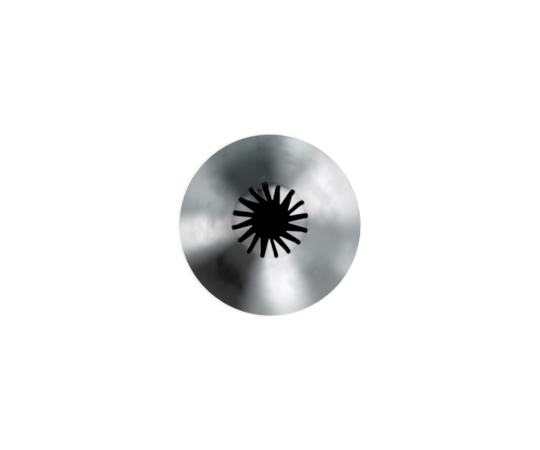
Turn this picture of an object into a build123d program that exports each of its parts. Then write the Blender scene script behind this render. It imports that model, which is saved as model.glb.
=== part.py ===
from build123d import *
import math
import os

# A star piping nozzle, pressed from one stainless sheet and closed by one weld.
# It stands on its wide base, centred on the origin, with its tip up along +Z.
# All lengths are in millimetres and all angles in degrees.

# Body of the nozzle
overall_height = 50.0
base_diameter = 30.0
sheet_thickness = 0.6

# Straight band round the base, with the sheet's edge folded up inside it
band_height = 3.5
band_inside_bend = 0.9
hem_step = 0.5
hem_gap = 0.1
hem_corner_share = 0.65

# Soft crease where the teeth fold inwards, its diameter taken at the corner that it rounds
crease_diameter = 11.4
crease_inside_bend = 3.4
fold_angle = 50.0

# Star opening, cut through the folded end by a punch that leans out from the axis
slit_count = 16
slit_width = 0.76
slit_overreach = 0.25
slit_straight_length = 0.85
slit_taper_length = 0.7
punch_lean = 65.0
star_opening_diameter = 6.0
tooth_point_width = 0.1
first_slit_angle = -9.4

# The punch was worn and set by hand, so no two slits and teeth are quite alike.
# Each list starts at the first slit and goes clockwise, seen from above the tip.
# Turns and leans are shares of the pitch between two slits, the others of their own size.
slit_turn_shares = (
    0.05, 0.01, 0.08, 0.075, 0.04, 0.07, 0.05, 0.03,
    -0.03, -0.02, -0.03, -0.05, -0.03, 0.01, 0.04, 0.04,
)
slit_reach_shares = (
    1.03, 0.965, 1.02, 1.02, 1.0, 1.01, 0.98, 0.98,
    0.97, 0.98, 1.02, 0.99, 1.01, 0.99, 1.0, 1.03,
)
slit_width_shares = (
    1.33, 1.0, 1.03, 0.96, 1.12, 1.07, 1.0, 0.97,
    0.86, 1.0, 0.95, 1.03, 0.96, 1.18, 1.12, 1.0,
)
tooth_lean_shares = (
    0.17, 0.27, 0.5, 0.15, 0.1, 0.3, 0.45, 0.42,
    0.05, 0.3, 0.2, 0.3, 0.33, 0.12, 0.46, 0.47,
)
tooth_reach_shares = (
    1.08, 1.0, 1.08, 1.05, 0.95, 1.0, 0.95, 0.98,
    0.93, 1.0, 0.98, 0.95, 0.96, 0.94, 1.08, 1.05,
)

# Butt weld up the back, ground flush outside and left as a low bead inside
seam_gap = 0.5
bead_lap = 0.2
bead_height = 0.2
bead_end_margin = 1.2

# How far cutting tools run past the sheet, and into each other
overrun = 1.0
tool_lap = 0.15

# Worked out from the sizes above
base_radius = base_diameter / 2
hem_corner_radius = sheet_thickness * hem_corner_share
crease_radius = crease_diameter / 2
slit_end_radius = crease_radius + slit_overreach
slit_root_radius = slit_end_radius - slit_straight_length
star_radius = star_opening_diameter / 2
pitch = 360 / slit_count
shortest_reach = star_radius * min(tooth_reach_shares)
fold_rise = (crease_radius - shortest_reach) / math.tan(math.radians(fold_angle))
crease_height = overall_height - fold_rise
wall_rise = crease_height - band_height
wall_angle = math.degrees(math.atan2(base_radius - crease_radius, wall_rise))


def outward(angle):
    """Direction away from the axis, its angle clockwise from the back."""
    turn = math.radians(angle)
    return Vector(math.sin(turn), math.cos(turn))


def meridian(angle):
    """Plane through the axis, with its X outwards and its Y up."""
    x_dir = outward(angle)
    return Plane(origin=(0, 0, 0), x_dir=x_dir, z_dir=x_dir.cross(Axis.Z.direction))


def facing(angle):
    """Outward direction, in a meridian, of a wall that leans in by an angle."""
    lean = math.radians(angle)
    return Vector(math.cos(lean), math.sin(lean))


def up_along(angle):
    """Upward direction, in a meridian, along a wall that leans in by an angle."""
    lean = math.radians(angle)
    return Vector(-math.sin(lean), math.cos(lean))


def inside_of(corner, lean_below, lean_above):
    """Corner of the sheet's inner side, opposite a corner of its outer side."""
    half_turn = math.radians(lean_above - lean_below) / 2
    middle = facing((lean_below + lean_above) / 2)
    return corner - middle * (sheet_thickness / math.cos(half_turn))


def outer_side(radius):
    """Point at a radius on the outer side: on the cone's wall, the soft crease or the folded end."""
    if radius >= bend_foot.X:
        return crease + up_along(wall_angle) * ((crease.X - radius) / math.sin(math.radians(wall_angle)))
    if radius <= bend_head.X:
        return crease + up_along(fold_angle) * ((crease.X - radius) / math.sin(math.radians(fold_angle)))
    rise = math.sqrt(crease_bend**2 - (radius - bend_centre.X) ** 2)
    return Vector(radius, bend_centre.Y + rise)


def slit(number):
    """Angle, end radius and width of one slit, numbered on past the last."""
    row = number % slit_count
    angle = first_slit_angle + pitch * (number + slit_turn_shares[row % len(slit_turn_shares)])
    reach = slit_end_radius * slit_reach_shares[row % len(slit_reach_shares)]
    width = slit_width * slit_width_shares[row % len(slit_width_shares)]
    return angle, reach, width


def slit_end(number):
    """Centre of a slit's tapered end, which touches the outer side of the sheet at its reach."""
    _, reach, _ = slit(number)
    return outer_side(reach) + up_along(punch_lean) * slit_taper_length


band_top = Vector(base_radius, band_height)
crease = Vector(crease_radius, crease_height)
crease_bend = crease_inside_bend + sheet_thickness
bend_reach = crease_bend * math.tan(math.radians(fold_angle - wall_angle) / 2)
bend_foot = crease - up_along(wall_angle) * bend_reach
bend_head = crease + up_along(fold_angle) * bend_reach
bend_centre = bend_foot - facing(wall_angle) * crease_bend
slit_root = outer_side(slit_root_radius)
inner_band_top = inside_of(band_top, 0, wall_angle)
inner_crease = inside_of(crease, wall_angle, fold_angle)


def sheet_section():
    """Half section of the whole sheet: hem, band, cone wall and folded end."""
    bore = base_radius - sheet_thickness
    leaf_outside = bore - hem_gap
    leaf_inside = leaf_outside - sheet_thickness
    leaf_top = band_height - hem_step
    end = outer_side(shortest_reach - sheet_thickness)
    corners = [
        (Vector(base_radius, 0), hem_corner_radius),
        (band_top, band_inside_bend + sheet_thickness),
        (crease, crease_bend),
        (end, 0),
        (end - facing(fold_angle) * sheet_thickness, 0),
        (inner_crease, crease_inside_bend),
        (inner_band_top, band_inside_bend),
        (Vector(bore, sheet_thickness), 0),
        (Vector(leaf_outside, sheet_thickness), 0),
        (Vector(leaf_outside, leaf_top), 0),
        (Vector(leaf_inside, leaf_top), 0),
        (Vector(leaf_inside, 0), hem_corner_radius),
    ]
    points = [point for point, _ in corners]
    radii = [radius for _, radius in corners]
    return make_face(FilletPolyline(*points, radius=radii, close=True))


def star_outline():
    """Star in plan: the even stretch and two root corners of each slit, and each tooth's blunt point."""
    points = []
    for number in range(slit_count):
        angle, _, width = slit(number)
        next_angle, _, _ = slit(number + 1)
        end = outward(angle) * slit_end_radius
        root = outward(angle) * slit_root_radius
        across = outward(angle + 90) * width / 2
        lean = pitch * tooth_lean_shares[number % len(tooth_lean_shares)]
        tooth_angle = (angle + next_angle) / 2 + lean
        reach = star_radius * tooth_reach_shares[number % len(tooth_reach_shares)]
        point = outward(tooth_angle) * reach
        blunt = outward(tooth_angle + 90) * tooth_point_width / 2
        points += [root - across, end - across, end + across, root + across]
        points += [point - blunt, point + blunt]
    return make_face(Polyline(*points, close=True))


def folded_end_zone():
    """Space inside a cone that leans as the punch does and passes just outside the slits' roots."""
    foot = outer_side(slit_root_radius + tool_lap)
    inner = foot - facing(punch_lean) * (sheet_thickness + overrun)
    outer = foot + facing(punch_lean) * overrun
    top = overall_height + overrun
    zone = Polyline((0, inner.Y), inner, outer, (outer.X, top), (0, top), close=True)
    return revolve(Plane.XZ * make_face(zone), Axis.Z)


def slit_slot(number):
    """Even stretch of a slit down to its root, with its tapered end, leaning as the punch does."""
    angle, _, width = slit(number)
    plane = meridian(angle)
    centre = slit_end(number)
    face = Plane(
        origin=plane.from_local_coords(centre),
        x_dir=plane.z_dir,
        z_dir=plane.from_local_coords(facing(punch_lean)) - plane.origin,
    )
    rise = overall_height + overrun - centre.Y
    depth = sheet_thickness + overrun
    stretch = (slit_root - centre).dot(up_along(punch_lean))
    slot = Rectangle(width, stretch, align=(Align.CENTER, Align.MAX))
    slot += Ellipse(width / 2, slit_taper_length)
    return extrude(face * slot, rise) + extrude(face * slot, -depth)


def star_cutter():
    """Everything that the punch takes out of the folded end."""
    base = crease_height - sheet_thickness - overrun
    prism = extrude(Pos(0, 0, base) * star_outline(), overall_height + overrun - base)
    slots = [slit_slot(number) for number in range(slit_count)]
    return prism & folded_end_zone(), slots


def seam_slab():
    """Flat-sided gap between the sheet's two edges, from the base to the first slit."""
    angle, _, _ = slit(0)
    top = slit_end(0)
    inner = top - facing(punch_lean) * (sheet_thickness + overrun)
    outer = top + facing(punch_lean) * overrun
    outside = base_radius + overrun
    outline = Polyline(
        (inner.X, -overrun), (outside, -overrun), (outside, outer.Y), outer, inner, close=True
    )
    return extrude(meridian(angle) * make_face(outline), seam_gap / 2, both=True)


def formed_sheet():
    """The cone with its hem and its teeth, before it is parted at the seam."""
    sheet = revolve(Plane.XZ * sheet_section(), Axis.Z)
    prism, slots = star_cutter()
    return sheet - prism - slots


def first_slit_below():
    """How far up the cone's inner wall the first slit ends, measured from the band's corner."""
    _, reach, _ = slit(0)
    undercut = sheet_thickness * math.tan(math.radians(punch_lean - wall_angle))
    return (outer_side(reach) - inner_band_top).dot(up_along(wall_angle)) - undercut


def inner_bead():
    """Low rounded bead along the weld, lying on the cone's inner wall."""
    angle, _, _ = slit(0)
    plane = meridian(angle)
    half_width = seam_gap / 2 + bead_lap
    tool_radius = (half_width**2 + bead_height**2) / (2 * bead_height)
    root = inner_band_top + facing(wall_angle) * (tool_radius - bead_height)
    start = root + up_along(wall_angle) * bead_end_margin
    finish = root + up_along(wall_angle) * (first_slit_below() - bead_end_margin)
    foot = plane.from_local_coords(start)
    head = plane.from_local_coords(finish)
    rod = Plane(origin=foot, z_dir=head - foot) * Cylinder(
        tool_radius, (head - foot).length, align=(Align.CENTER, Align.CENTER, Align.MIN)
    )
    rod += Pos(foot) * Sphere(tool_radius)
    rod += Pos(head) * Sphere(tool_radius)
    hollow = Polyline(
        (0, inner_band_top.Y), inner_band_top, inner_crease, (0, inner_crease.Y), close=True
    )
    return rod & revolve(Plane.XZ * make_face(hollow), Axis.Z)


def build():
    sheet = formed_sheet()
    slab = seam_slab()
    return {
        "nozzle_cone": sheet - slab,
        "seam_weld": (sheet & slab) + inner_bead(),
    }


os.makedirs("parts", exist_ok=True)
for name, piece in build().items():
    piece.label = name
    export_step(piece, f"parts/{name}.step")
    print(name, len(piece.solids()), "solid", round(piece.volume, 2), "mm3")
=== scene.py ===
import math

import bmesh
import bpy
from mathutils import Matrix, Vector


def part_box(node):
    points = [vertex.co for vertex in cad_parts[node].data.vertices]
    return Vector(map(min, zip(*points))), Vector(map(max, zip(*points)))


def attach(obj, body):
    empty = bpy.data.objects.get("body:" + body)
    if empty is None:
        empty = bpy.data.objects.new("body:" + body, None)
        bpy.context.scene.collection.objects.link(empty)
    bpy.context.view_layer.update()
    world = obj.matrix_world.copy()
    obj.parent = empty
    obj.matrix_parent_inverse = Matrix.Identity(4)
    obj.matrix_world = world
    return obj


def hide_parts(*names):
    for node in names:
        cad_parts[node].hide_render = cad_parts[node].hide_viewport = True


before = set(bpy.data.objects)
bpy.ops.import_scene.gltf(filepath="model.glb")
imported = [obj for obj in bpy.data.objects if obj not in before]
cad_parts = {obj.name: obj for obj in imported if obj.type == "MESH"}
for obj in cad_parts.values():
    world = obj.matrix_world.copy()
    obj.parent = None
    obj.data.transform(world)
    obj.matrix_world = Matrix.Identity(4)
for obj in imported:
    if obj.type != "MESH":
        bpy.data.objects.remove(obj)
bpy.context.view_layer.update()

# A star piping nozzle, pressed from one stainless sheet and closed by one weld. It stands on its
# wide base with its tip up. Lengths are in metres, so each size in millimetres is times MM.
MM = 0.001

# Overall sizes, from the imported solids
sheet_low, sheet_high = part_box("nozzle_cone")
HEIGHT = sheet_high.z
BASE_RADIUS = (sheet_high.x - sheet_low.x) / 2

# The sheet, with its straight band and hem round the base and its soft crease near the tip
SHEET = 0.6 * MM
BAND_HEIGHT = 3.5 * MM
BAND_INSIDE_BEND = 0.9 * MM
HEM_STEP = 0.5 * MM
HEM_GAP = 0.1 * MM
HEM_CORNER_SHARE = 0.65
CREASE_RADIUS = 5.7 * MM
CREASE_INSIDE_BEND = 3.4 * MM
FOLD_ANGLE = math.radians(50)

# The star, cut through the folded end by a punch that leans out from the axis
TEETH = 16
SLIT_WIDTH = 0.76 * MM
SLIT_OVERREACH = 0.25 * MM
SLIT_STRAIGHT_LENGTH = 0.85 * MM
SLIT_TAPER_LENGTH = 0.7 * MM
PUNCH_LEAN = math.radians(65)
STAR_RADIUS = 3.0 * MM
TOOTH_POINT_WIDTH = 0.1 * MM
FIRST_SLIT_ANGLE = math.radians(-9.4)

# No two slits and teeth are quite alike. Each list starts at the first slit and goes clockwise,
# seen from above the tip. Turns and leans are shares of the pitch between two slits, the others
# of their own size.
SLIT_TURN_SHARES = (
    0.05, 0.01, 0.08, 0.075, 0.04, 0.07, 0.05, 0.03,
    -0.03, -0.02, -0.03, -0.05, -0.03, 0.01, 0.04, 0.04,
)
SLIT_REACH_SHARES = (
    1.03, 0.965, 1.02, 1.02, 1.0, 1.01, 0.98, 0.98,
    0.97, 0.98, 1.02, 0.99, 1.01, 0.99, 1.0, 1.03,
)
SLIT_WIDTH_SHARES = (
    1.33, 1.0, 1.03, 0.96, 1.12, 1.07, 1.0, 0.97,
    0.86, 1.0, 0.95, 1.03, 0.96, 1.18, 1.12, 1.0,
)
TOOTH_LEAN_SHARES = (
    0.17, 0.27, 0.5, 0.15, 0.1, 0.3, 0.45, 0.42,
    0.05, 0.3, 0.2, 0.3, 0.33, 0.12, 0.46, 0.47,
)
TOOTH_REACH_SHARES = (
    1.08, 1.0, 1.08, 1.05, 0.95, 1.0, 0.95, 0.98,
    0.93, 1.0, 0.98, 0.95, 0.96, 0.94, 1.08, 1.05,
)

# The weld, flush outside and left as a low rippled bead inside
SEAM_GAP = 0.5 * MM
BEAD_LAP = 0.2 * MM
BEAD_HEIGHT = 0.2 * MM
BEAD_END_MARGIN = 1.2 * MM
BEAD_ROOT = 0.03 * MM
BEAD_RIPPLES = 90
RIPPLE_SHARE = 0.14

# How finely the sheet and the bead are divided
COLUMNS = 320
HEM_LEAF_ROWS = 4
HEM_CORNER_ROWS = 6
BAND_ROWS = 3
BAND_BEND_ROWS = 4
WALL_ROWS = 30
CREASE_ROWS = 14
TOOTH_ROWS = 9
SLIT_END_STEPS = 6
TOOTH_SIDE_STEPS = 6
BEAD_COLUMNS = 10
BEAD_ROWS = 480
BEAD_END_ROWS = 8

# Heights between which the rows of the inner side come to follow the leaning cut
UNDERCUT_START = 10 * MM
UNDERCUT_WHOLE = 40 * MM

# Cut edges turn by more than CUT_TURN and are rounded. What turns by more than SHARP_TURN after
# that is shaded as an edge. Points nearer than NEAR are joined.
CUT_TURN = math.radians(80)
EDGE_ROUND = 0.03 * MM
EDGE_SEGMENTS = 2
SHARP_TURN = math.radians(20)
NEAR = 0.002 * MM

# Worked out from the sizes above
PITCH = math.tau / TEETH
HEM_CORNER = HEM_CORNER_SHARE * SHEET
SLIT_END_RADIUS = CREASE_RADIUS + SLIT_OVERREACH
SLIT_ROOT_RADIUS = SLIT_END_RADIUS - SLIT_STRAIGHT_LENGTH
SHORTEST_TOOTH = STAR_RADIUS * min(TOOTH_REACH_SHARES)
CREASE_HEIGHT = HEIGHT - (CREASE_RADIUS - SHORTEST_TOOTH) / math.tan(FOLD_ANGLE)
WALL_ANGLE = math.atan2(BASE_RADIUS - CREASE_RADIUS, CREASE_HEIGHT - BAND_HEIGHT)
SEAM_ANGLE = FIRST_SLIT_ANGLE + PITCH * SLIT_TURN_SHARES[0]
SEAM_OUT = Vector((math.sin(SEAM_ANGLE), math.cos(SEAM_ANGLE), 0))
SEAM_ACROSS = Vector((math.cos(SEAM_ANGLE), -math.sin(SEAM_ANGLE), 0))

# Directions in the section
OUT = Vector((1, 0))
UP = Vector((0, 1))

# The photograph's width, and the radius of the base's circle in it, in pixels
PHOTO_WIDTH_PX = 540
BASE_RADIUS_PX = 90.57

# The camera, which leans a little from the axis, and whose sensor is measured in millimetres
CAMERA_DISTANCE = 600 * MM
CAMERA_LEAN = math.radians(0.79)
SENSOR_WIDTH = 36.0

# Colours of the light
WHITE = (1.0, 1.0, 1.01)
COOL = (0.93, 1.0, 1.02)
TEAL = (0.82, 1.0, 1.0)
WARM = (1.0, 0.97, 0.97)

# Brightness of the even studio, and of what the polish mirrors where there is no card
STUDIO_LEVEL = 1.7
BACKDROP_LEVEL = 0.4

# Soft cards that the polish mirrors, each laid over the cards before it. Each has a colour, a
# softness and four looks, as mirrored by the cone's base, its middle and its crease, and by the
# teeth. A look is a turn clockwise from the back, a half width and a brightness. Angles are in
# degrees.
CARDS = (
    (WHITE, 15, (57, 28, 1.0), (62, 25, 1.17), (56, 23, 0.95), (42, 42, 1.22)),
    (COOL, 8, (18, 10, 0.94), (20, 10, 0.46), (19, 10, 0.25), (20, 9, 1.15)),
    (COOL, 8, (113, 12, 0.72), (111, 11, 0.38), (118, 12, 0.45), (112, 15, 0.76)),
    (COOL, 7, (136, 9, 0.34), (135, 11, 0.27), (138, 12, 0.62), (138, 9, 1.0)),
    (WHITE, 9, (166, 11, 0.89), (169, 15, 1.27), (168, 21, 1.11), (166, 22, 1.22)),
    (COOL, 7, (303, 14, 0.56), (293, 15, 0.6), (288, 14, 0.3), (293, 12, 0.42)),
    (WHITE, 7, (264, 10, 0.96), (265, 12, 1.1), (264, 16, 0.38), (270, 16, 0.62)),
    (WARM, 10, (221, 27, 0.05), (221, 25, 0.0), (222, 23, 0.08), (222, 20, 0.27)),
    (TEAL, 14, (341, 25, 0.26), (338, 30, 0.05), (337, 38, 0.06), (338, 21, 0.11)),
)

# The base, the middle and the crease mirror the cards on a low board, each at a distance from the
# axis. The crease and the teeth mirror them on the far walls, each at a climb.
BOARD_LOOKS = slice(0, 3)
BOARD_STOPS = (17 * MM, 22.2 * MM, 26 * MM)
WALL_LOOKS = slice(2, 4)
WALL_STOPS = (math.radians(-48), math.radians(10))

# The board, which has faint clouds and a painted shade of the base, darker close to it
BOARD_RADIUS = 60 * MM
BOARD_DEPTH = 1 * MM
BASE_SHADE_STOPS = (14.8 * MM, 16.8 * MM)
BASE_SHADE_LEVEL = 0.3
CLOUD_CONTRAST = 0.4

# A narrow dark flag behind the nozzle, which the last tooth mirrors as a streak
FLAG_TURN = math.radians(341)
FLAG_DISTANCE = 300 * MM
FLAG_WIDTH = 44 * MM
FLAG_CLIMBS = (math.radians(-18), math.radians(9.5))

# The floor, and the dark card that lies in the mouth as painted shade: a near-black sheet where
# the floor inside the nozzle lies in shade. The flag behind the nozzle shares its dark grey.
FLOOR_RADIUS = 3000 * MM
FLOOR_GREY = 0.86
DARK_FLAG_AND_SHADE_GREY = 0.004
MOUTH_SHADE_CARD_GAP = 0.1 * MM
MOUTH_SHADE_CARD_HEIGHT = 0.05 * MM
DISC_SIDES = 96

# The steel of the sheet and of the weld, both brushed round the axis
SHEET_TINT = (0.66, 0.66, 0.665)
SHEET_ROUGHNESS = 0.12
WELD_TINT = (0.61, 0.61, 0.61)
WELD_ROUGHNESS = 0.17
BRUSHING = 0.5
BRUSHING_TURN = 0.25

# Textures of the steel and of the board: how often each changes in a metre of X, Y and Z, and how
# much detail it has
LINES = ((60, 60, 1600), 6)
PATCHES = ((600, 600, 120), 4)
WAVES = ((150, 150, 30), 2)
SMUDGES = ((260, 260, 52), 5)
CLOUDS = ((110, 110, 110), 2)

# What the textures change
SMUDGE_EDGES = (0.35, 0.6)
SMUDGE_TINT_SHARE = 0.93
SMUDGE_DULLING = 0.1
PATCH_DULLING = 0.1
LINE_DULLING = 0.06
LINE_CONTRAST = 0.12
LINE_DEPTH = 0.003 * MM
WAVE_DEPTH = 0.08 * MM


def facing(lean):
    """Outward direction of a wall that leans in by an angle."""
    return Vector((math.cos(lean), math.sin(lean)))


def up_wall(lean):
    """Direction up a wall that leans in by an angle."""
    return Vector((-math.sin(lean), math.cos(lean)))


# The sheet's section is a row of stations, each a pair of points on its outer and its inner side

def straight(start, end, lean, rows):
    """Stations along a flat stretch, the last one left out."""
    through = facing(lean) * SHEET
    spots = [start.lerp(end, row / rows) for row in range(rows)]
    return [(spot, spot - through) for spot in spots]


def bend(corner, inside, lean_below, lean_above, rows):
    """Stations round a bend at a corner of the outer side, the last one left out."""
    radius = inside + SHEET
    middle = facing((lean_below + lean_above) / 2)
    centre = corner - middle * (radius / math.cos((lean_above - lean_below) / 2))
    outs = [facing(lean_below + (lean_above - lean_below) * row / rows) for row in range(rows)]
    return [(centre + out * radius, centre + out * inside) for out in outs]


def bend_reach(inside, lean_below, lean_above):
    """How far a bend runs along each side of its corner."""
    return (inside + SHEET) * math.tan((lean_above - lean_below) / 2)


def hem_leaf(leaf_inside, leaf_outside):
    """Stations down the hem's inner leaf, where the sheet's outer side faces the axis."""
    leaf_top = BAND_HEIGHT - HEM_STEP
    outer_top, outer_foot = Vector((leaf_inside, leaf_top)), Vector((leaf_inside, HEM_CORNER))
    inner_top, inner_foot = Vector((leaf_outside, leaf_top)), Vector((leaf_outside, SHEET))
    rows = []
    for row in range(HEM_LEAF_ROWS):
        share = row / HEM_LEAF_ROWS
        rows.append((outer_top.lerp(outer_foot, share), inner_top.lerp(inner_foot, share)))
    return rows


def hem_corner(radius, start, inner):
    """Stations round a corner of the hem's foot, all with one point on the inner side."""
    centre = Vector((radius, HEM_CORNER))
    turns = [start + math.pi / 2 * row / HEM_CORNER_ROWS for row in range(HEM_CORNER_ROWS + 1)]
    return [(centre + facing(turn) * HEM_CORNER, inner) for turn in turns]


def hem_stations():
    """Stations from the hem's free edge, down its inner leaf and round its flat foot."""
    bore = BASE_RADIUS - SHEET
    leaf_outside = bore - HEM_GAP
    leaf_inside = leaf_outside - SHEET
    rows = hem_leaf(leaf_inside, leaf_outside)
    rows += hem_corner(leaf_inside + HEM_CORNER, math.pi, Vector((leaf_outside, SHEET)))
    rows += hem_corner(BASE_RADIUS - HEM_CORNER, math.pi * 1.5, Vector((bore, SHEET)))
    return rows[:-1]


def stations():
    """Every station of the sheet, from the hem's free edge to past the teeth's points."""
    band_foot = Vector((BASE_RADIUS, HEM_CORNER))
    band_top = Vector((BASE_RADIUS, BAND_HEIGHT))
    crease = Vector((CREASE_RADIUS, CREASE_HEIGHT))
    low_reach = bend_reach(BAND_INSIDE_BEND, 0, WALL_ANGLE)
    high_reach = bend_reach(CREASE_INSIDE_BEND, WALL_ANGLE, FOLD_ANGLE)
    wall_foot = band_top + up_wall(WALL_ANGLE) * low_reach
    wall_head = crease - up_wall(WALL_ANGLE) * high_reach
    tooth_foot = crease + up_wall(FOLD_ANGLE) * high_reach
    length = (tooth_foot.x - SHORTEST_TOOTH + SHEET) / math.sin(FOLD_ANGLE)
    tooth_end = tooth_foot + up_wall(FOLD_ANGLE) * length
    rows = hem_stations()
    rows += straight(band_foot, band_top - UP * low_reach, 0, BAND_ROWS)
    rows += bend(band_top, BAND_INSIDE_BEND, 0, WALL_ANGLE, BAND_BEND_ROWS)
    rows += straight(wall_foot, wall_head, WALL_ANGLE, WALL_ROWS)
    rows += bend(crease, CREASE_INSIDE_BEND, WALL_ANGLE, FOLD_ANGLE, CREASE_ROWS)
    rows += straight(tooth_foot, tooth_end, FOLD_ANGLE, TOOTH_ROWS)
    rows.append((tooth_end, tooth_end - facing(FOLD_ANGLE) * SHEET))
    return rows


STATIONS = stations()


def distances():
    """Distance of each station along the sheet's outer side."""
    total = 0.0
    marks = [total]
    for (before, _), (after, _) in zip(STATIONS, STATIONS[1:]):
        total += (after - before).length
        marks.append(total)
    return marks


MARKS = distances()


def last_at(direction, value):
    """Distance along the outer side at which it last gets so far in a direction."""
    legs = list(zip(MARKS, MARKS[1:], STATIONS, STATIONS[1:]))
    for mark, next_mark, (spot, _), (next_spot, _) in reversed(legs):
        start, end = spot.dot(direction), next_spot.dot(direction)
        if (start - value) * (end - value) <= 0:
            return mark + (next_mark - mark) * (start - value) / (start - end)
    raise ValueError("the sheet doesn't come there")


def along(radius):
    """Distance along the outer side at which it last comes to a radius."""
    return last_at(OUT, radius)


def at_distance(distance):
    """Pair of points on the outer and the inner side, at a distance along the outer side."""
    last = len(MARKS) - 2
    row = next((row for row in range(last) if distance < MARKS[row + 1]), last)
    share = (distance - MARKS[row]) / (MARKS[row + 1] - MARKS[row])
    (outer, inner), (next_outer, next_inner) = STATIONS[row], STATIONS[row + 1]
    return outer.lerp(next_outer, share), inner.lerp(next_inner, share)


# The sheet starts as a flat blank, cut tooth by tooth. X runs round the axis, with its true length
# at the slits' ends, and Y runs up the section. Slits are numbered on past the last.

def slit_angle(number):
    """Angle of a slit's middle line, clockwise from the back."""
    return FIRST_SLIT_ANGLE + PITCH * (number + SLIT_TURN_SHARES[number % TEETH])


def slit_width(number):
    """Width of a slit along its even stretch."""
    return SLIT_WIDTH * SLIT_WIDTH_SHARES[number % TEETH]


def slit_reach(number):
    """Radius at which a slit ends."""
    return SLIT_END_RADIUS * SLIT_REACH_SHARES[number % TEETH]


def middle_line(number):
    """How far across the blank a slit's middle line lies."""
    return slit_angle(number) * SLIT_END_RADIUS


def beside_line(angle, across, distance):
    """Place on the blank beside the line at an angle."""
    outer, _ = at_distance(distance)
    return Vector(((angle + across / outer.x) * SLIT_END_RADIUS, distance, 0))


def slit_side(number, side):
    """One side of a slit's tapered end, half an ellipse as seen along the punch."""
    push = up_wall(PUNCH_LEAN)
    end, _ = at_distance(along(slit_reach(number)))
    spots = []
    for step in range(SLIT_END_STEPS + 1):
        turn = math.pi / 2 * step / SLIT_END_STEPS
        pushed = end.dot(push) + SLIT_TAPER_LENGTH * (1 - math.cos(turn))
        across = side * slit_width(number) / 2 * math.sin(turn)
        spots.append(beside_line(slit_angle(number), across, last_at(push, pushed)))
    return spots


def in_plan(angle, radius, across):
    """Point in plan at a radius, so far beside the radial line at an angle."""
    out = Vector((math.sin(angle), math.cos(angle)))
    beside = Vector((math.cos(angle), -math.sin(angle)))
    return out * radius + beside * across


def on_blank(spot, near_angle):
    """Place on the blank of a point in plan, its angle taken near another."""
    angle = math.atan2(spot.x, spot.y)
    angle += math.tau * round((near_angle - angle) / math.tau)
    return Vector((angle * SLIT_END_RADIUS, along(spot.length), 0))


def tooth_side(tooth, side):
    """One side of a tooth, straight in plan, from where its slit widens to its blunt point."""
    number = tooth if side < 0 else tooth + 1
    middle = (slit_angle(tooth) + slit_angle(tooth + 1)) / 2
    lean = PITCH * TOOTH_LEAN_SHARES[tooth]
    reach = STAR_RADIUS * TOOTH_REACH_SHARES[tooth]
    root = in_plan(slit_angle(number), SLIT_ROOT_RADIUS, -side * slit_width(number) / 2)
    point = in_plan(middle + lean, reach, side * TOOTH_POINT_WIDTH / 2)
    spots = [root.lerp(point, step / TOOTH_SIDE_STEPS) for step in range(TOOTH_SIDE_STEPS + 1)]
    return [on_blank(spot, slit_angle(number)) for spot in spots]


def cell(tooth):
    """Outline of the blank from one slit's middle line to the next, with the tooth on top."""
    foot = [Vector((middle_line(tooth), 0, 0)), Vector((middle_line(tooth + 1), 0, 0))]
    rising = slit_side(tooth + 1, -1) + tooth_side(tooth, 1)
    falling = slit_side(tooth, 1) + tooth_side(tooth, -1)
    return foot + rising + falling[::-1]


def open_ends(mesh):
    """Takes away the blank's two end faces, which meet once it is rolled up."""
    ends = (middle_line(0), middle_line(TEETH))
    faces = [
        face for face in mesh.faces
        if all(min(abs(vert.co.x - end) for end in ends) < NEAR for vert in face.verts)
    ]
    bmesh.ops.delete(mesh, geom=faces, context="FACES")


def soften_edges(mesh):
    """Rounds the edges of the star and the free edge of the hem a little."""
    rims = [
        edge for edge in mesh.edges
        if len(edge.link_faces) == 2 and edge.calc_face_angle() > CUT_TURN
        and abs(edge.verts[0].co.z - edge.verts[1].co.z) < NEAR
    ]
    bmesh.ops.bevel(
        mesh, geom=rims, offset=EDGE_ROUND, affect="EDGES",
        segments=EDGE_SEGMENTS, profile=0.5, material=-1,
    )


def cut_blank():
    """The flat blank, with its star cut out and its thickness below it."""
    mesh = bmesh.new()
    for tooth in range(TEETH):
        mesh.faces.new([mesh.verts.new(spot) for spot in cell(tooth)])
    bmesh.ops.remove_doubles(mesh, verts=mesh.verts[:], dist=NEAR)
    made = bmesh.ops.extrude_face_region(mesh, geom=mesh.faces[:], use_keep_orig=True)
    lower = [item for item in made["geom"] if isinstance(item, bmesh.types.BMVert)]
    bmesh.ops.translate(mesh, verts=lower, vec=(0, 0, -SHEET))
    return mesh


def cut_across(mesh, place, direction):
    """Cuts the whole blank along a plane through a place."""
    everything = mesh.verts[:] + mesh.edges[:] + mesh.faces[:]
    bmesh.ops.bisect_plane(mesh, geom=everything, dist=NEAR, plane_co=place, plane_no=direction)


def divide(mesh):
    """Cuts the blank into columns and rows, so that it can be bent."""
    left, right = middle_line(0), middle_line(TEETH)
    for column in range(1, COLUMNS):
        cut_across(mesh, (left + (right - left) * column / COLUMNS, 0, 0), (1, 0, 0))
    for mark in MARKS[1:-1]:
        cut_across(mesh, (0, mark, 0), (0, 1, 0))


def ramp(value, start, end):
    """Share from 0 to 1 of the way from a start to an end."""
    return min(max((value - start) / (end - start), 0), 1)


def undercut(outer, inner):
    """How much further down the sheet the star is cut on its inner side, because the cut leans."""
    through = outer - inner
    lean = math.atan2(through.y, through.x)
    past_root = ramp(outer.x, SLIT_ROOT_RADIUS, STAR_RADIUS)
    cut_lean = PUNCH_LEAN + (math.pi / 2 - PUNCH_LEAN) * past_root
    return ramp(outer.y, UNDERCUT_START, UNDERCUT_WHOLE) * SHEET * math.tan(cut_lean - lean)


def sort_by(items, place):
    """Sorts a mesh's points, edges or faces by a place of each."""
    ranks = {item: rank for rank, item in enumerate(sorted(items, key=place))}
    items.sort(key=ranks.get)


def put_in_order(mesh):
    """Sorts a mesh by place, because the order that cuts leave changes from run to run."""
    sort_by(mesh.verts, lambda vert: vert.co[:])
    sort_by(mesh.edges, lambda edge: (edge.verts[0].co + edge.verts[1].co)[:])
    sort_by(mesh.faces, lambda face: face.calc_center_median()[:])


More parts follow.
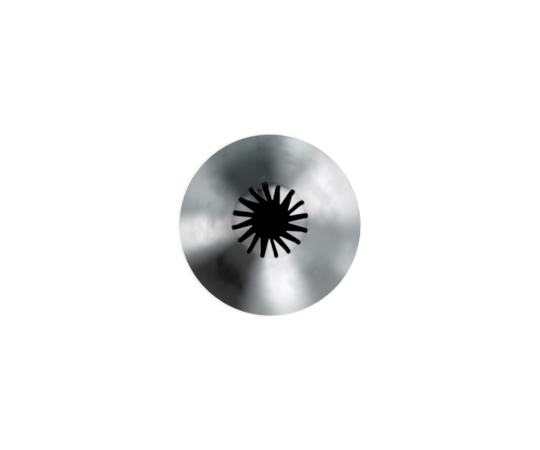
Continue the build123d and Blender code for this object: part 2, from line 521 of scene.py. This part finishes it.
def roll_up(mesh):
    """Bends the blank round the axis and into its section, and joins its two ends."""
    put_in_order(mesh)
    for vert in mesh.verts:
        outer, inner = at_distance(vert.co.y)
        _, inner = at_distance(vert.co.y - undercut(outer, inner))
        spot = outer.lerp(inner, -vert.co.z / SHEET)
        angle = vert.co.x / SLIT_END_RADIUS
        vert.co = (spot.x * math.sin(angle), spot.x * math.cos(angle), spot.y)
    bmesh.ops.remove_doubles(mesh, verts=mesh.verts[:], dist=NEAR)
    bmesh.ops.dissolve_degenerate(mesh, dist=NEAR / 2, edges=mesh.edges[:])
    bmesh.ops.recalc_face_normals(mesh, faces=mesh.faces[:])


def formed_sheet():
    """The whole sheet with its hem and teeth, before it is parted at the seam."""
    mesh = cut_blank()
    open_ends(mesh)
    soften_edges(mesh)
    divide(mesh)
    roll_up(mesh)
    return mesh


# The seam runs from the base to the first slit, in one plane through the axis

def below_first_slit(face):
    """Whether a face is on the seam's side of the axis and outside the star's opening."""
    return face.calc_center_median().dot(SEAM_OUT) > SLIT_ROOT_RADIUS


def in_seam(face):
    """Whether a face is part of the weld."""
    aside = abs(face.calc_center_median().dot(SEAM_ACROSS))
    return below_first_slit(face) and aside < SEAM_GAP / 2


def cut_seam(mesh):
    """Cuts the sheet along both sides of the weld."""
    for side in (-1, 1):
        faces = [face for face in mesh.faces if below_first_slit(face)]
        edges = list(dict.fromkeys(edge for face in faces for edge in face.edges))
        verts = list(dict.fromkeys(vert for face in faces for vert in face.verts))
        bmesh.ops.bisect_plane(
            mesh, geom=verts + edges + faces, dist=NEAR / 2,
            plane_co=SEAM_ACROSS * side * SEAM_GAP / 2, plane_no=SEAM_ACROSS,
        )


def keep(mesh, wanted):
    """Deletes the faces that aren't wanted, and closes the sections that this opens."""
    others = [face for face in mesh.faces if not wanted(face)]
    bmesh.ops.delete(mesh, geom=others, context="FACES")
    rims = [edge for edge in mesh.edges if edge.is_boundary]
    bmesh.ops.holes_fill(mesh, edges=rims, sides=0)


def bead_height(across, share):
    """Height of the bead at a place across it and along it, rippled as the weld froze."""
    rows_to_end = max(min(share, 1 - share), 0) * BEAD_ROWS
    rise = math.sqrt(min(rows_to_end / BEAD_END_ROWS, 1))
    ripple = 1 - RIPPLE_SHARE + RIPPLE_SHARE * abs(math.sin(share * BEAD_RIPPLES * math.pi))
    return BEAD_HEIGHT * (1 - across * across) * rise * ripple


def flat_bead():
    """The bead on the underside of the flat blank, where it laps over both sides of the seam."""
    half_width = SEAM_GAP / 2 + BEAD_LAP
    first_slit = along(slit_reach(0)) - SHEET * math.tan(PUNCH_LEAN - WALL_ANGLE)
    start = last_at(UP, BAND_HEIGHT) + BEAD_END_MARGIN - half_width
    end = first_slit - BEAD_END_MARGIN + half_width
    mesh = bmesh.new()
    bmesh.ops.create_grid(mesh, x_segments=BEAD_COLUMNS, y_segments=BEAD_ROWS, size=1)
    made = bmesh.ops.extrude_face_region(mesh, geom=mesh.faces[:], use_keep_orig=True)
    roots = {item for item in made["geom"] if isinstance(item, bmesh.types.BMVert)}
    for vert in mesh.verts:
        across, share = vert.co.x, (vert.co.y + 1) / 2
        height = -BEAD_ROOT if vert in roots else bead_height(across, share)
        spot = beside_line(SEAM_ANGLE, across * half_width, start + (end - start) * share)
        vert.co = spot - Vector((0, 0, SHEET + height))
    return mesh


def lay_bead(mesh):
    """Adds the rolled-up bead to the weld's mesh."""
    bead = flat_bead()
    roll_up(bead)
    data = bpy.data.meshes.new("bead")
    bead.to_mesh(data)
    bead.free()
    mesh.from_mesh(data)
    bpy.data.meshes.remove(data)


def make_object(name, mesh):
    """Object of a mesh, in the scene."""
    data = bpy.data.meshes.new(name)
    mesh.to_mesh(data)
    mesh.free()
    made = bpy.data.objects.new(name, data)
    bpy.context.scene.collection.objects.link(made)
    return made


def make_piece(name, mesh):
    """Piece of the nozzle, shaded smooth but for its sharp edges."""
    put_in_order(mesh)
    bmesh.ops.recalc_face_normals(mesh, faces=mesh.faces[:])
    for face in mesh.faces:
        face.smooth = True
    for edge in mesh.edges:
        edge.smooth = len(edge.link_faces) == 2 and edge.calc_face_angle() < SHARP_TURN
    return make_object(name, mesh)


def make_nozzle():
    """The pressed sheet and the weld, which meet face to face along the seam."""
    mesh = formed_sheet()
    cut_seam(mesh)
    strip = mesh.copy()
    keep(mesh, lambda face: not in_seam(face))
    keep(strip, in_seam)
    lay_bead(strip)
    return make_piece("pressed_sheet", mesh), make_piece("weld_strip", strip)


class Socket:
    """A shader socket that takes part in sums as a number does."""

    def __init__(self, shader, socket):
        self.shader = shader
        self.socket = socket

    def __add__(self, other):
        return self.shader.maths("ADD", self, other)

    def __sub__(self, other):
        return self.shader.maths("SUBTRACT", self, other)

    def __mul__(self, other):
        return self.shader.maths("MULTIPLY", self, other)

    def __rsub__(self, other):
        return self.shader.maths("SUBTRACT", other, self)

    __radd__ = __add__
    __rmul__ = __mul__


# Numbers of the Mix node's sockets for colours, because their names repeat
MIX_MASK = 0
MIX_FIRST = 6
MIX_SECOND = 7
MIX_RESULT = 2


class Shader:
    """The node tree of one finish or light."""

    def __init__(self, tree):
        self.tree = tree
        tree.nodes.clear()

    def add(self, kind, settings=None, values=None, out=0):
        """Adds a node, its settings first, then its sockets' values or links. Returns an output."""
        node = self.tree.nodes.new(kind)
        for name, setting in (settings or {}).items():
            setattr(node, name, setting)
        for name, value in (values or {}).items():
            socket = node.inputs[name]
            if isinstance(value, Socket):
                self.tree.links.new(value.socket, socket)
            elif socket.type == "RGBA":
                socket.default_value = (*value, 1)
            else:
                socket.default_value = value
        return Socket(self, node.outputs[out]) if node.outputs else None

    def maths(self, operation, first, second=0.0):
        """Sum or function of numbers."""
        return self.add("ShaderNodeMath", {"operation": operation}, {0: first, 1: second})

    def coordinate(self, point, axis):
        """One coordinate of a point."""
        return self.add("ShaderNodeSeparateXYZ", None, {"Vector": point}, axis)

    def scale(self, colour, share):
        """Colour times a number."""
        return self.add("ShaderNodeVectorMath", {"operation": "SCALE"}, {0: colour, "Scale": share})

    def step(self, value, start, end):
        """Smooth step from 0 to 1 as a value goes from a start to an end."""
        settings = {"interpolation_type": "SMOOTHSTEP"}
        values = {"Value": value, "From Min": start, "From Max": end}
        return self.add("ShaderNodeMapRange", settings, values)

    def mix(self, mask, colour, other):
        """Colour that goes from one to another as a mask goes from 0 to 1."""
        values = {MIX_MASK: mask, MIX_FIRST: colour, MIX_SECOND: other}
        return self.add("ShaderNodeMix", {"data_type": "RGBA"}, values, MIX_RESULT)

    def texture(self, point, scales, detail):
        """Noise from 0 to 1 that changes so often in a metre along each axis."""
        placed = self.add("ShaderNodeMapping", None, {"Vector": point, "Scale": scales})
        values = {"Vector": placed, "Scale": 1.0, "Detail": detail}
        return self.add("ShaderNodeTexNoise", None, values)

    def bump(self, texture, depth, under=None):
        """Normal of a surface that a texture raises by up to a depth, over another normal."""
        values = {"Height": texture, "Distance": depth, "Strength": 1.0}
        if under is not None:
            values["Normal"] = under
        return self.add("ShaderNodeBump", None, values)


def spread(texture, width):
    """Change to both sides of zero, of a whole width as a texture goes from 0 to 1."""
    return (texture - 0.5) * width


def between(shader, place, stops, values):
    """Number that goes from each value to the next as a place goes from stop to stop."""
    number = values[0]
    for start, end, value, next_value in zip(stops, stops[1:], values, values[1:]):
        number = shader.step(place, start, end) * (next_value - value) + number
    return number


def card_light(shader, point, place, stops, chosen):
    """Light of the cards in a point's direction, which goes from look to look at the stops."""
    x, y = shader.coordinate(point, "X"), shader.coordinate(point, "Y")
    turn_here = shader.maths("ARCTAN2", x, y)
    light = [part * BACKDROP_LEVEL for part in COOL]
    for colour, softness, *looks in CARDS:
        turns, widths, levels = zip(*looks[chosen])
        turn = between(shader, place, stops, [math.radians(value) for value in turns])
        width = between(shader, place, stops, [math.radians(value) for value in widths])
        away = shader.maths("ARCCOSINE", shader.maths("COSINE", turn_here - turn))
        soft = math.radians(softness)
        cover = 1 - shader.step(away - width, -soft, soft)
        card = shader.scale(colour, between(shader, place, stops, levels))
        light = shader.mix(cover, light, card)
    return light


def make_world():
    """Even white studio, in which only the polish sees the cards on the far walls."""
    world = bpy.data.worlds.new("studio")
    bpy.context.scene.world = world
    world.use_nodes = True
    world.cycles.sampling_method = "NONE"
    shader = Shader(world.node_tree)
    point = shader.add("ShaderNodeTexCoord", out="Generated")
    climb = shader.maths("ARCSINE", shader.coordinate(point, "Z"))
    light = card_light(shader, point, climb, WALL_STOPS, WALL_LOOKS)
    walls = shader.add("ShaderNodeBackground", None, {"Color": light})
    even = shader.add("ShaderNodeBackground", None, {"Color": WHITE, "Strength": STUDIO_LEVEL})
    polish = shader.add("ShaderNodeLightPath", out="Is Glossy Ray")
    both = shader.add("ShaderNodeMixShader", None, {0: polish, 1: even, 2: walls})
    shader.add("ShaderNodeOutputWorld", None, {"Surface": both})


def new_material(name):
    """Empty material, and the shader that fills it."""
    material = bpy.data.materials.new(name)
    material.use_nodes = True
    return material, Shader(material.node_tree)


def board_finish():
    """The cards on the low board, with faint clouds over them and the base's shade."""
    material, shader = new_material("board_cards")
    material.cycles.emission_sampling = "NONE"
    point = shader.add("ShaderNodeTexCoord", out="Object")
    x, y = shader.coordinate(point, "X"), shader.coordinate(point, "Y")
    distance = shader.maths("SQRT", x * x + y * y)
    cards = card_light(shader, point, distance, BOARD_STOPS, BOARD_LOOKS)
    clouds = 1 + spread(shader.texture(point, *CLOUDS), CLOUD_CONTRAST)
    # Painted shade: the board darkens close to the base, where the base's shadow would fall
    shade = between(shader, distance, BASE_SHADE_STOPS, (BASE_SHADE_LEVEL, 1))
    light = shader.add("ShaderNodeEmission", None, {"Color": shader.scale(cards, clouds * shade)})
    shader.add("ShaderNodeOutputMaterial", None, {"Surface": light})
    return material


def matt_finish(name, grey):
    """Plain matt grey."""
    material, shader = new_material(name)
    paint = shader.add("ShaderNodeBsdfDiffuse", None, {"Color": (grey, grey, grey)})
    shader.add("ShaderNodeOutputMaterial", None, {"Surface": paint})
    return material


def steel(name, tint, roughness):
    """Polished steel with fine lines round the axis, and long smudges and waves up the cone."""
    material, shader = new_material(name)
    point = shader.add("ShaderNodeTexCoord", out="Object")
    line = shader.texture(point, *LINES)
    patch = shader.texture(point, *PATCHES)
    wave = shader.texture(point, *WAVES)
    clean = shader.step(shader.texture(point, *SMUDGES), *SMUDGE_EDGES)
    dull = roughness + spread(line, LINE_DULLING) + spread(patch, PATCH_DULLING)
    smudged = [part * SMUDGE_TINT_SHARE for part in tint]
    surface = shader.add("ShaderNodeBsdfPrincipled", None, {
        "Base Color": shader.scale(shader.mix(clean, smudged, tint), 1 + spread(line, LINE_CONTRAST)),
        "Metallic": 1.0,
        "Roughness": dull + (1 - clean) * SMUDGE_DULLING,
        "Anisotropic": BRUSHING,
        "Anisotropic Rotation": BRUSHING_TURN,
        "Normal": shader.bump(line, LINE_DEPTH, shader.bump(wave, WAVE_DEPTH)),
    })
    shader.add("ShaderNodeOutputMaterial", None, {"Surface": surface})
    return material


def stage_piece(name, mesh, material):
    """Object beside the nozzle that isn't part of it."""
    piece = make_object(name, mesh)
    piece.data.materials.append(material)
    return piece


def show_to_polish(piece):
    """Hides a piece of the stage from everything but the polish."""
    piece.visible_camera = False
    piece.visible_diffuse = False
    piece.visible_shadow = False


def disc(radius, height):
    """Flat disc round the axis."""
    mesh = bmesh.new()
    bmesh.ops.create_circle(mesh, cap_ends=True, segments=DISC_SIDES, radius=radius)
    bmesh.ops.translate(mesh, verts=mesh.verts[:], vec=(0, 0, height))
    return mesh


def flag_strip():
    """Upright strip behind the nozzle, between two climbs as seen from the tip."""
    low, high = [HEIGHT + FLAG_DISTANCE * math.tan(climb) for climb in FLAG_CLIMBS]
    mesh = bmesh.new()
    bmesh.ops.create_grid(mesh, x_segments=1, y_segments=1, size=0.5)
    bmesh.ops.scale(mesh, verts=mesh.verts[:], vec=(FLAG_WIDTH, high - low, 1))
    bmesh.ops.rotate(mesh, verts=mesh.verts[:], matrix=Matrix.Rotation(math.pi / 2, 3, "X"))
    bmesh.ops.translate(mesh, verts=mesh.verts[:], vec=(0, FLAG_DISTANCE, (low + high) / 2))
    bmesh.ops.rotate(mesh, verts=mesh.verts[:], matrix=Matrix.Rotation(-FLAG_TURN, 3, "Z"))
    return mesh


def make_stage():
    """Pale floor, a dark card in the mouth as painted shade, a dark flag behind the nozzle, and the
    board under the base.
    """
    floor = stage_piece("floor", disc(FLOOR_RADIUS, 0), matt_finish("pale_floor", FLOOR_GREY))
    floor.visible_glossy = False
    dark = matt_finish("dark_flag_and_shade_card", DARK_FLAG_AND_SHADE_GREY)
    mouth_radius = BASE_RADIUS - 2 * SHEET - HEM_GAP - MOUTH_SHADE_CARD_GAP
    # The mouth card is painted shade: a near-black sheet where the floor inside the nozzle lies in
    # shade
    stage_piece("mouth_shade_card", disc(mouth_radius, MOUTH_SHADE_CARD_HEIGHT), dark)
    show_to_polish(stage_piece("flag", flag_strip(), dark))
    show_to_polish(stage_piece("light_board", disc(BOARD_RADIUS, -BOARD_DEPTH), board_finish()))


def make_camera():
    """Camera above the tip, so far off that the base's circle has its size in the photograph."""
    to_band = CAMERA_DISTANCE - BAND_HEIGHT
    data = bpy.data.cameras.new("camera")
    data.sensor_width = SENSOR_WIDTH
    data.lens = SENSOR_WIDTH * BASE_RADIUS_PX / PHOTO_WIDTH_PX * to_band / BASE_RADIUS
    camera = bpy.data.objects.new("camera", data)
    back = Vector((0, -math.sin(CAMERA_LEAN), math.cos(CAMERA_LEAN)))
    camera.location = Vector((0, 0, BAND_HEIGHT)) + back * to_band
    camera.rotation_euler = (CAMERA_LEAN, 0, 0)
    bpy.context.scene.collection.objects.link(camera)
    bpy.context.scene.camera = camera


sheet, weld = make_nozzle()
sheet.data.materials.append(steel("sheet_steel", SHEET_TINT, SHEET_ROUGHNESS))
weld.data.materials.append(steel("weld_steel", WELD_TINT, WELD_ROUGHNESS))
make_world()
make_stage()
make_camera()
bpy.context.scene.view_settings.view_transform = "Standard"

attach(sheet, "root")
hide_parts("nozzle_cone")
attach(weld, "root")
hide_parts("seam_weld")
